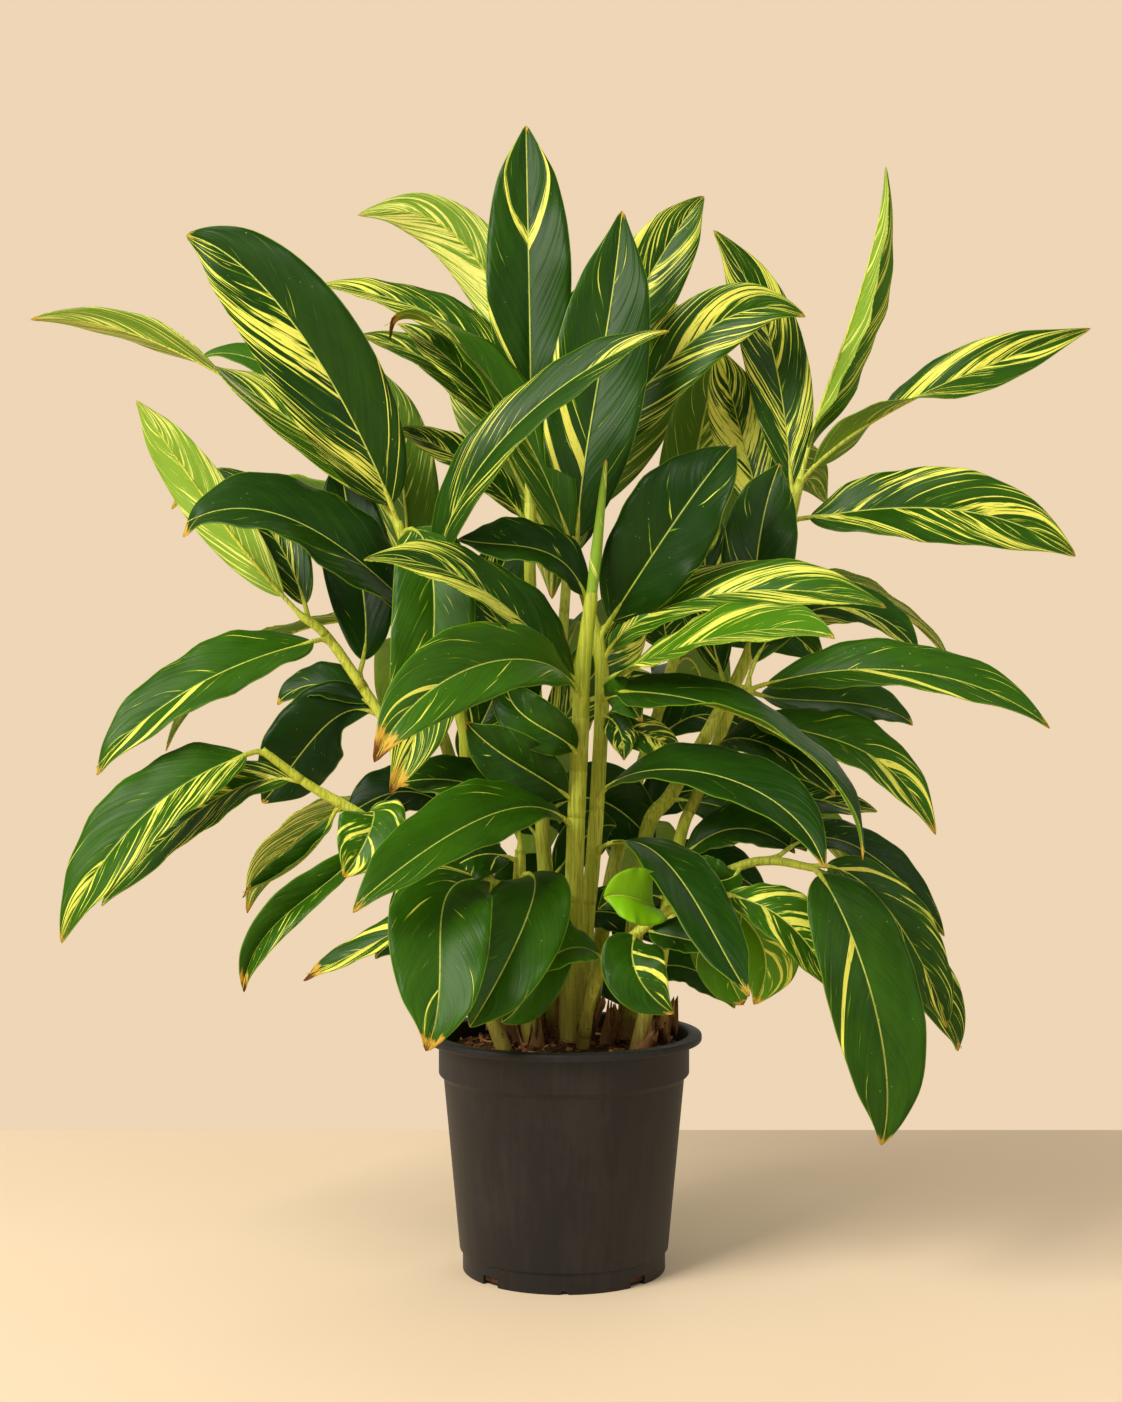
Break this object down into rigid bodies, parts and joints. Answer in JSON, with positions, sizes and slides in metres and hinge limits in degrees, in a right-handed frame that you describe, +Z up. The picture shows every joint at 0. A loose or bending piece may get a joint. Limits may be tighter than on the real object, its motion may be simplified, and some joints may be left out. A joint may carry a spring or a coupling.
{
  "type": "potted variegated shell ginger",
  "caption": "Potted variegated shell ginger: leafy canes with long pointed, yellow-striped green leaves standing in potting soil in a round tapered nursery pot with drain notches.",
  "frame": {"origin": "centre of the pot's flat underside, on the surface it stands on", "axes": "+Z up along the pot's axis, -Y towards the front of the plant, +X to the right as seen from the front"},
  "size_m": [1.1016, 0.7218, 1.1725],
  "materials": {
    "pot_plastic": "satin",
    "soil": "matte",
    "dry_husk": "matte",
    "leaf": "satin"
  },
  "bodies": {
    "root": {"pot": "pot_plastic", "potting_soil": "soil", "dried_husk": "dry_husk", "stem_front": "leaf", "stem_middle": "leaf", "stem_left": "leaf", "stem_left_low": "leaf", "stem_tall_back": "leaf", "stem_right_tall": "leaf", "shoot_right_low": "leaf", "stem_left_tall": "leaf", "stem_right": "leaf", "stem_right_low": "leaf", "stem_front_short": "leaf", "stem_back_right": "leaf", "stem_back_left": "leaf", "stem_back": "leaf"}
  },
  "joints": []
}
